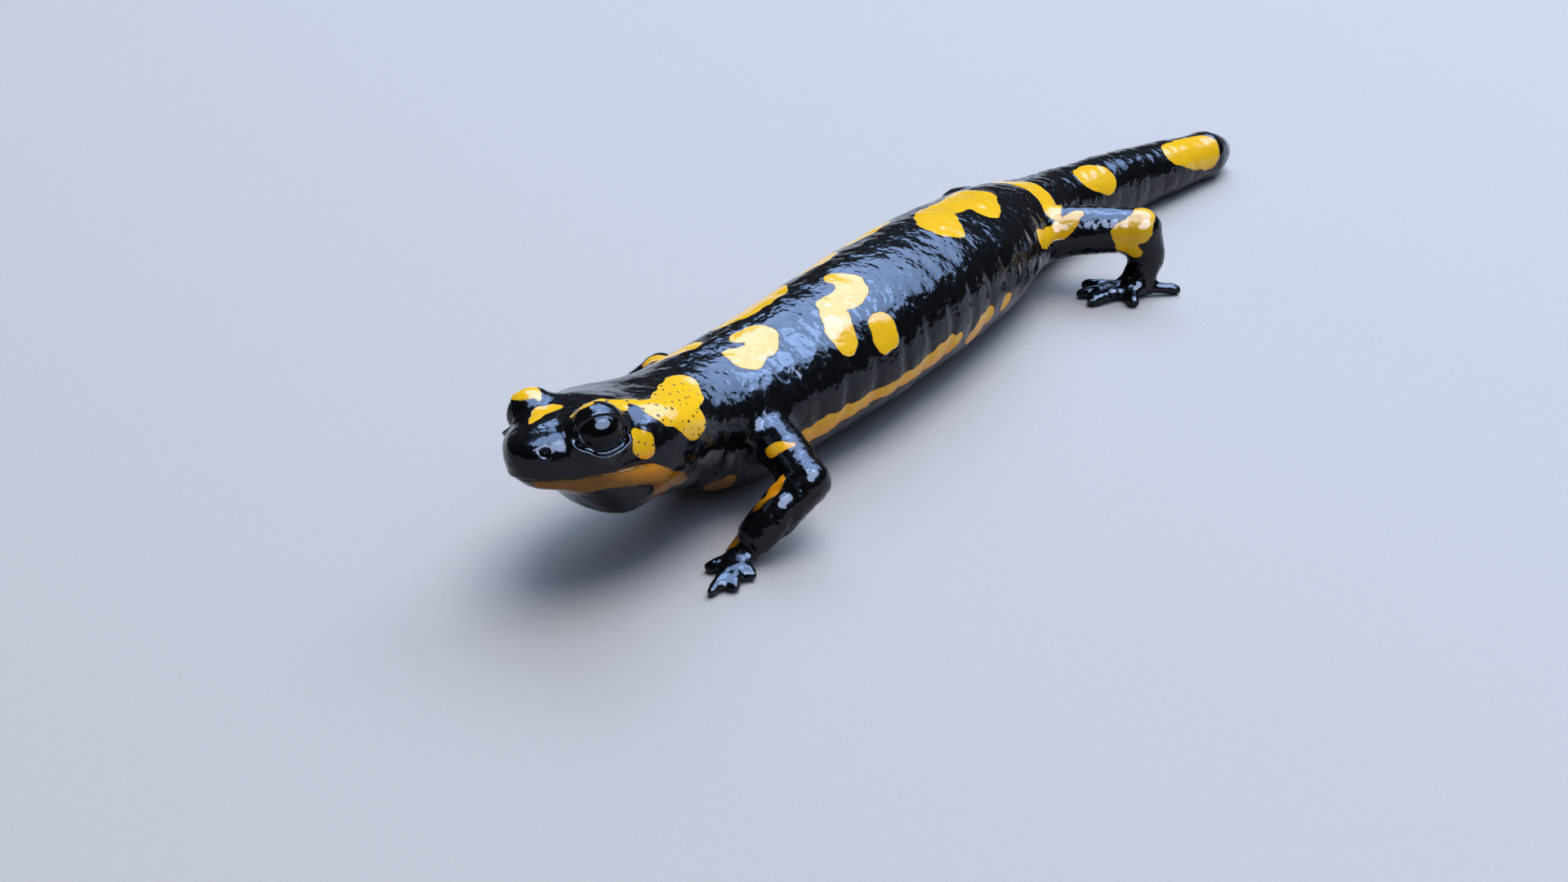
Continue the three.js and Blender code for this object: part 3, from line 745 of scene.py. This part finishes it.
# On the limbs the dabs stand at points of the animal's own millimetre frame.
limbMarks = {
    "arm": [(13.0, -37.2, 10.7, 0.7), (13.7, -36.9, 11.0, 0.85), (14.4, -36.6, 11.6, 0.6),
            (15.6, -35.4, 11.8, 0.25)],
    "forearm": [(15.2, -43.2, 6.2, 0.2), (15.7, -42.3, 7.1, 0.65), (16.2, -41.0, 8.1, 1.0),
                (16.4, -39.6, 9.1, 1.0)],
    "wrist": [(13.2, -45.6, 2.0, 0.8), (14.2, -45.0, 2.8, 0.7)],
    "thigh": [(4.4, 31.5, 11.0, 1.5), (4.2, 34.0, 10.3, 1.5), (4.6, 37.2, 10.8, 1.4), (5.1, 38.5, 11.8, 1.2),
              (5.6, 39.9, 12.5, 0.8)],
    "knee": [(12.2, 42.0, 10.2, 1.9), (13.6, 43.6, 10.6, 2.0), (13.4, 45.4, 12.2, 1.7)],
    "shin": [(12.4, 42.6, 8.6, 1.8), (13.2, 43.3, 7.4, 1.3)],
    "rightArm": [(-13.5, -28.0, 10.6, 1.4), (-14.8, -28.4, 9.6, 1.2)],
    "rightForearm": [(-18.4, -32.0, 6.0, 1.0), (-18.2, -34.0, 4.8, 0.7)],
    "rightThigh": [(-15.0, 38.6, 9.0, 1.6), (-17.2, 41.0, 8.0, 1.6)],
    "rightShank": [(-22.6, 48.6, 6.4, 1.2), (-23.0, 50.6, 5.4, 0.9)],
}


def chainDepth(points, dabs):
    # how deep each point lies inside a chain of melted dabs, in millimetres
    depth = np.full(len(points), -9.0)
    for a, b in zip(dabs[:-1], dabs[1:]):
        start, way = np.array(a[:3]), np.array(b[:3]) - np.array(a[:3])
        share = np.clip((points - start) @ way / max(way @ way, 1e-9), 0, 1)
        inside = mix(a[3], b[3], share) - np.linalg.norm(points - start - share[:, None] * way, axis=1)
        meet = np.maximum(0.5 - np.abs(depth - inside), 0)
        depth = np.maximum(depth, inside) + meet**2 / 2
    return depth


def plainSkin(distance, turn):
    wide, high, deep = bodySize(distance)
    out, up = np.sin(np.radians(turn)), np.cos(np.radians(turn))
    middle, forward, left, upwards = quickFrame(np.atleast_1d(distance))
    return middle + left * (out * wide)[:, None] + upwards * (up * np.where(up > 0, high, deep))[:, None]


underTheMouth = ("jaw", "jawLip", "jawFront", "jawBack", "rightJaw")


def paintDepths():
    distance, out, up = bodyPlace(flesh.points)
    along, _, headUpness = headPlace(flesh.points)
    wide, high, deep = bodySize(distance)
    side = np.maximum(np.where(up > 0, high, deep), 0.3)
    turn = np.degrees(np.arctan2(out / np.maximum(wide, 0.3), up / side))
    plain = plainSkin(distance, turn)
    offBody = np.hypot(out, up) - np.hypot(wide * np.sin(np.radians(turn)), side * np.cos(np.radians(turn)))
    offBody = np.where(distance < 27, 0, offBody)
    yellow = np.full(len(plain), -9.0)
    for name, dabs in bodyMarks.items():
        feet = plainSkin(np.array([d[0] for d in dabs], float), np.array([d[1] for d in dabs], float))
        depth = chainDepth(plain, [(*foot, d[2]) for foot, d in zip(feet, dabs)])
        if name in underTheMouth:
            depth = np.minimum(depth, (lipHeight(along) - headUpness) * 1.5 + 0.1)
        yellow = np.maximum(yellow, depth - 2 * ease(offBody, 1.0, 2.5))
    for name, dabs in limbMarks.items():
        yellow = np.maximum(yellow, chainDepth(flesh.points, dabs))
    # the side marks turn orange and then deep ochre towards the underside: partly their own colour, partly
    # painted shade for the weaker light below
    warmAndShade = ease(np.abs(turn), 68, mix(125, 158, ease(distance, 22, 34)))
    glands = bump(distance, 17, 7.2) * (np.abs(turn) > 15) * (np.abs(turn) < 95)
    skinMap = np.stack([distance, np.radians(turn) * (wide + side) / 2, distance * 0], -1)
    return {"yellowDepth": np.clip(yellow, -3, 3), "warmthAndShade": warmAndShade, "glands": glands}, skinMap


print("painting the markings")
paint, skinMap = paintDepths()

flesh.points = (flesh.points + stand) * mm
flesh.write()
skinMesh = flesh.mesh
skinMesh.name = "salamanderSkin"
for name, values in paint.items():
    layer = skinMesh.attributes.new(name, "FLOAT", "POINT")
    layer.data.foreach_set("value", values.astype(np.float32))
layer = skinMesh.attributes.new("skinMap", "FLOAT_VECTOR", "POINT")
layer.data.foreach_set("vector", skinMap.astype(np.float32).ravel())
skinMesh.polygons.foreach_set("use_smooth", [True] * len(skinMesh.polygons))
skin = bpy.data.objects.new("salamanderSkin", skinMesh)
bpy.context.scene.collection.objects.link(skin)


# ---- materials ----
class Nodes:
    # short ways to place and link shader nodes

    def __init__(self, name):
        self.material = bpy.data.materials.new(name)
        self.material.use_nodes = True
        self.tree = self.material.node_tree
        self.shader = self.tree.nodes["Principled BSDF"]

    def add(self, kind, inputs=None, **settings):
        node = self.tree.nodes.new(kind)
        for key, value in settings.items():
            setattr(node, key, value)
        for key, value in (inputs or {}).items():
            self.feed(node.inputs[key], value)
        return node

    def feed(self, socket, value):
        if isinstance(value, bpy.types.NodeSocket):
            self.tree.links.new(value, socket)
        else:
            socket.default_value = value

    def math(self, operation, a, b):
        return self.add("ShaderNodeMath", {0: a, 1: b}, operation=operation).outputs[0]

    def ramp(self, value, low, high, toLow=0.0, toHigh=1.0):
        inputs = {"Value": value, "From Min": low, "From Max": high, "To Min": toLow, "To Max": toHigh}
        return self.add("ShaderNodeMapRange", inputs, interpolation_type="SMOOTHSTEP").outputs[0]

    def blend(self, share, a, b):
        node = self.add("ShaderNodeMix", {"Factor": share}, data_type="RGBA")
        for socket, value in zip([s for s in node.inputs if s.type == "RGBA"], (a, b)):
            self.feed(socket, value)
        return next(s for s in node.outputs if s.type == "RGBA")

    def attribute(self, name):
        return self.add("ShaderNodeAttribute", attribute_name=name).outputs["Fac"]


skinLook = {
    "black": (0.0030, 0.0031, 0.0037, 1), "yellow": (0.98, 0.55, 0.012, 1), "orange": (0.86, 0.31, 0.004, 1),
    # the deep ochre is partly painted shade, darker than the marks' own colour, standing for the weaker light
    # under the jaw and flank
    "shadedOchre": (0.20, 0.075, 0.002, 1), "pore": (0.02, 0.008, 0.003, 1), "edgeWobble": 0.5,
    "roughness": (0.09, 0.19), "poreSpacing": 1.3, "poreRadius": 0.15,
}


def skinMaterial():
    look = skinLook
    n = Nodes("wetSkin")
    place = n.add("ShaderNodeTexCoord").outputs["Object"]
    inMm = n.add("ShaderNodeMapping", {"Vector": place, "Scale": (1000, 1000, 1000)}).outputs[0]
    onSkin = n.add("ShaderNodeAttribute", attribute_name="skinMap").outputs["Vector"]

    def cloud(scale, detail=2.0):
        return n.add("ShaderNodeTexNoise", {"Vector": inMm, "Scale": scale, "Detail": detail}).outputs["Fac"]

    wobble = n.math("MULTIPLY", n.math("SUBTRACT", cloud(0.45, 4.0), 0.5), look["edgeWobble"] * 2)
    depth = n.math("ADD", n.attribute("yellowDepth"), wobble)
    isYellow = n.ramp(depth, -0.04, 0.06)
    pores = n.add("ShaderNodeTexVoronoi", voronoi_dimensions="2D", inputs={
        "Vector": onSkin, "Scale": 1 / look["poreSpacing"], "Randomness": 0.7,
    })
    poreSize = n.ramp(cloud(0.8, 0.0), 0.3, 0.7, 0.6, 1.25)
    poreReach = n.math("DIVIDE", n.math("MULTIPLY", pores.outputs["Distance"], look["poreSpacing"]), poreSize)
    isPore = n.ramp(poreReach, look["poreRadius"] * 1.3, look["poreRadius"] * 0.75)
    isPore = n.math("MULTIPLY", isPore, n.ramp(n.attribute("glands"), 0.25, 0.45))
    isPore = n.math("MULTIPLY", isPore, isYellow)
    # from yellow through orange to ochre towards the underside; the dark ochre end is painted shade as well
    # as colour
    hueAndShade = n.math("ADD", n.attribute("warmthAndShade"), n.math("MULTIPLY", n.math("SUBTRACT", cloud(0.3), 0.5), 0.35))
    rim = n.math("MULTIPLY", n.ramp(depth, 0.45, 0.0), 0.18)
    hueAndShade = n.math("ADD", hueAndShade, rim)
    yellow = n.blend(n.ramp(hueAndShade, 0.05, 0.6), look["yellow"], look["orange"])
    yellow = n.blend(n.ramp(hueAndShade, 0.6, 1.05), yellow, look["shadedOchre"])
    yellow = n.blend(isPore, yellow, look["pore"])
    n.feed(n.shader.inputs["Base Color"], n.blend(isYellow, look["black"], yellow))

    low, high = look["roughness"]
    n.feed(n.shader.inputs["Roughness"], n.ramp(cloud(1.3, 3.0), 0.3, 0.7, low, high))

    cells = {"Vector": inMm, "Scale": 0.75, "Smoothness": 0.35, "Randomness": 1.0}
    pits = n.add("ShaderNodeTexVoronoi", cells, feature="SMOOTH_F1").outputs["Distance"]
    pits = n.ramp(pits, 0.0, 0.4)
    coarse = n.ramp(n.add("ShaderNodeSeparateXYZ", {"Vector": onSkin}).outputs["X"], 13, 30, 0.5, 1.0)
    coarse = n.math("MULTIPLY", coarse, n.ramp(isYellow, 0.0, 1.0, 1.0, 0.45))
    height = n.math("ADD", n.math("MULTIPLY", cloud(0.75, 1.5), 0.8), n.math("MULTIPLY", pits, 0.2))
    height = n.math("MULTIPLY", height, coarse)
    height = n.math("ADD", height, n.math("MULTIPLY", cloud(2.4, 1.0), 0.05))
    height = n.math("SUBTRACT", height, n.math("MULTIPLY", isPore, 0.25))
    raised = n.add("ShaderNodeBump", {"Height": height, "Strength": 1.0, "Distance": 0.00019})
    n.feed(n.shader.inputs["Normal"], raised.outputs[0])
    n.shader.inputs["IOR"].default_value = 1.35
    return n.material


eyeLook = {
    "iris": (0.0030, 0.0022, 0.0018, 1), "fibre": (0.0055, 0.0036, 0.0024, 1),
    "pupil": (0.001, 0.001, 0.0012, 1), "around": (0.002, 0.002, 0.0024, 1),
    "irisRadius": 1.7, "pupilRadius": 1.05,
}


def eyeMaterial():
    n = Nodes("wetEye")
    place = n.add("ShaderNodeTexCoord").outputs["Object"]
    inMm = n.add("ShaderNodeMapping", {"Vector": place, "Scale": (1000, 1000, 1000)}).outputs[0]
    fibres = n.add("ShaderNodeTexNoise", {"Vector": inMm, "Scale": 4.0, "Detail": 3.0}).outputs["Fac"]
    reach = n.attribute("irisReach")
    edge, pupilEdge = eyeLook["irisRadius"], eyeLook["pupilRadius"]
    inIris = n.ramp(reach, edge + 0.05, edge - 0.05)
    ragged = n.math("ADD", reach, n.math("MULTIPLY", fibres, 0.2))
    inPupil = n.ramp(ragged, pupilEdge + 0.05, pupilEdge - 0.05)
    iris = n.blend(fibres, eyeLook["iris"], eyeLook["fibre"])
    colour = n.blend(inIris, eyeLook["around"], iris)
    n.feed(n.shader.inputs["Base Color"], n.blend(inPupil, colour, eyeLook["pupil"]))
    n.feed(n.shader.inputs["Roughness"], n.ramp(fibres, 0.2, 0.8, 0.07, 0.12))
    n.shader.inputs["IOR"].default_value = 1.29
    return n.material


skinMesh.materials.append(skinMaterial())

# ---- eyeballs ----
eyeBuild = {"rows": 56, "sides": 72, "cornea": 0.14, "corneaReach": 46}


def eyeball(name, side, material):
    look, across, over = eyeAxes(side)
    rim = math.radians(eyeBuild["corneaReach"])
    reaches = []

    def place(share, angle):
        polar = math.pi * share
        dome = eyeBuild["cornea"] * float(1 - ease(polar, rim * 0.55, rim * 1.1))
        radius = eyeShape["ballRadius"] + dome
        reaches.append((polar, len(angle)))
        ring = (np.cos(angle)[:, None] * across + np.sin(angle)[:, None] * over) * math.sin(polar)
        return eyeMiddle[side] + (ring + look * math.cos(polar)) * radius

    points, faces = shell(eyeBuild["rows"], eyeBuild["sides"], place)
    mesh = meshFrom(name, (points + stand) * mm, faces)
    reach = np.concatenate([np.full(count, polar * eyeShape["ballRadius"]) for polar, count in reaches])
    layer = mesh.attributes.new("irisReach", "FLOAT", "POINT")
    layer.data.foreach_set("value", reach.astype(np.float32))
    mesh.polygons.foreach_set("use_smooth", [True] * len(mesh.polygons))
    bm = bmesh.new()
    bm.from_mesh(mesh)
    bmesh.ops.recalc_face_normals(bm, faces=bm.faces)
    bm.to_mesh(mesh)
    bm.free()
    mesh.materials.append(material)
    thing = bpy.data.objects.new(name, mesh)
    bpy.context.scene.collection.objects.link(thing)
    return thing


print("eyeballs")
wetEye = eyeMaterial()
leftEye = eyeball("eyeballLeft", 1, wetEye)
rightEye = eyeball("eyeballRight", -1, wetEye)

fleshNodes = sorted(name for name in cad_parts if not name.startswith("eye_"))
for thing, nodes, slot in (
    (skin, fleshNodes, "wet_skin"), (leftEye, ["eye_left"], "eye"), (rightEye, ["eye_right"], "eye"),
):
    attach(thing, "root")
    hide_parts(*nodes)

# ---- floor, light and camera ----
studio = {
    "floorSize": 6.0, "floorColour": (0.40, 0.35, 0.305, 1),
    "window": {  # a large softbox behind the animal: away, lowest, highest, width, radiance
        "azimuth": 108, "soft": (1.0, 0.60, 1.90, 2.2, 4.2), "colour": (0.68, 0.82, 1.0),
        # what reflections see stands a little nearer, as only one light of a plane shows in them
        "sheen": [(0.97, 0.58, 0.82, 1.2, 8.0), (0.97, 0.82, 2.55, 2.2, 12.0)],
        "sheenColour": (0.37, 0.56, 1.0),
    },
    "sideSky": {  # a soft box that only shows in reflections, on the snout and the eyes
        "azimuth": -17, "elevation": 51, "away": 1.0, "width": 1.2, "height": 0.8, "radiance": 19.0,
        "colour": (0.50, 0.64, 1.0),
    },
    "overhead": {
        "spread": 40, "leans": (-10, 6), "power": 2.3, "colour": (0.90, 0.95, 1.0),
        "sheenSpread": 58, "sheen": 13.0, "sheenColour": (0.37, 0.56, 1.0),  # what reflections see of it
    },
    "backdrop": (0.50, 0.50, 0.50, 1), "shade": (0.05, 0.055, 0.06, 1),
}


def makeFloor():
    s = studio["floorSize"] / 2
    z = -0.00002
    mesh = meshFrom("studioFloor", [(-s, -s, z), (s, -s, z), (s, s, z), (-s, s, z)], [(0, 1, 2, 3)])
    n = Nodes("paleFloor")
    place = n.add("ShaderNodeTexCoord").outputs["Object"]
    grain = n.add("ShaderNodeTexNoise", {"Vector": place, "Scale": 900.0, "Detail": 3.0}).outputs["Fac"]
    tone = n.blend(grain, studio["floorColour"], tuple(c * 1.06 for c in studio["floorColour"][:3]) + (1,))
    n.feed(n.shader.inputs["Base Color"], tone)
    n.shader.inputs["Roughness"].default_value = 0.8
    mesh.materials.append(n.material)
    floor = bpy.data.objects.new("studioFloor", mesh)
    bpy.context.scene.collection.objects.link(floor)


def addLight(name, kind, colour):
    data = bpy.data.lights.new(name, kind)
    data.color = colour
    light = bpy.data.objects.new(name, data)
    light.visible_camera = False
    bpy.context.scene.collection.objects.link(light)
    return light, data


def makeWindow(name, colour, away, low, high, width, radiance):
    window, data = addLight(name, "AREA", colour)
    data.shape = "RECTANGLE"
    data.size, data.size_y = width, high - low
    data.energy = math.pi * data.size * data.size_y * radiance
    turn = math.radians(studio["window"]["azimuth"])
    window.location = (math.cos(turn) * away, math.sin(turn) * away, (low + high) / 2)
    window.rotation_euler = (math.radians(90), 0, turn + math.radians(90))
    return window


def makeSideSky():
    settings = studio["sideSky"]
    light, data = addLight("sideSky", "AREA", settings["colour"])
    data.shape = "ELLIPSE"
    data.size, data.size_y = settings["width"], settings["height"]
    data.energy = math.pi * data.size * data.size_y * settings["radiance"]
    turn, rise = math.radians(settings["azimuth"]), math.radians(settings["elevation"])
    away = Vector((math.cos(turn) * math.cos(rise), math.sin(turn) * math.cos(rise), math.sin(rise)))
    light.location = away * settings["away"]
    light.rotation_euler = (math.pi / 2 - rise, 0, turn + math.pi / 2)
    light.visible_diffuse = False


def makeOverhead(name, power, colour, spread):
    light, data = addLight(name, "SUN", colour)
    data.energy = power
    data.angle = math.radians(spread)
    leanX, leanY = studio["overhead"]["leans"]
    light.rotation_euler = (math.radians(leanX), math.radians(leanY), 0)
    return light


def makeLights():
    # the soft light and what the wet skin reflects are set apart
    makeSideSky()
    w, o = studio["window"], studio["overhead"]
    makeWindow("skyWindow", w["colour"], *w["soft"]).visible_glossy = False
    for band in w["sheen"]:
        makeWindow("skySheen", w["sheenColour"], *band).visible_diffuse = False
    makeOverhead("overheadSky", o["power"], o["colour"], o["spread"]).visible_glossy = False
    makeOverhead("overheadSheen", o["sheen"], o["sheenColour"], o["sheenSpread"]).visible_diffuse = False


def makeWorld():
    # a pale backdrop for the camera, and a faint even light for everything else
    world = bpy.data.worlds.new("studioWorld")
    world.use_nodes = True
    tree = world.node_tree
    seen = tree.nodes.new("ShaderNodeLightPath")
    blend = tree.nodes.new("ShaderNodeMix")
    blend.data_type = "RGBA"
    colours = [socket for socket in blend.inputs if socket.type == "RGBA"]
    colours[0].default_value = studio["shade"]
    colours[1].default_value = studio["backdrop"]
    tree.links.new(seen.outputs["Is Camera Ray"], blend.inputs["Factor"])
    tree.links.new(next(socket for socket in blend.outputs if socket.type == "RGBA"),
                   tree.nodes["Background"].inputs["Color"])
    bpy.context.scene.world = world
    bpy.context.scene.view_settings.view_transform = "Standard"


camera = {
    "place": (135.567, -170.591, 115.81),  # millimetres, in the animal's own frame
    "right": (0.75644, 0.65301, -0.037), "up": (-0.3008, 0.39755, 0.86687), "lens": 41.25,
}


def makeCamera():
    data = bpy.data.cameras.new("camera")
    data.lens = camera["lens"]
    data.sensor_width = 36
    data.clip_start = 0.01
    thing = bpy.data.objects.new("camera", data)
    right, up = unit(np.array(camera["right"])), np.array(camera["up"])
    back = unit(np.cross(right, up))
    up = np.cross(back, right)
    turn = Matrix([[right[k], up[k], back[k]] for k in range(3)]).to_4x4()
    thing.matrix_world = Matrix.Translation((np.array(camera["place"]) + stand) * mm) @ turn
    bpy.context.scene.collection.objects.link(thing)
    bpy.context.scene.camera = thing


print("floor, light and camera")
makeFloor()
makeLights()
makeWorld()
makeCamera()
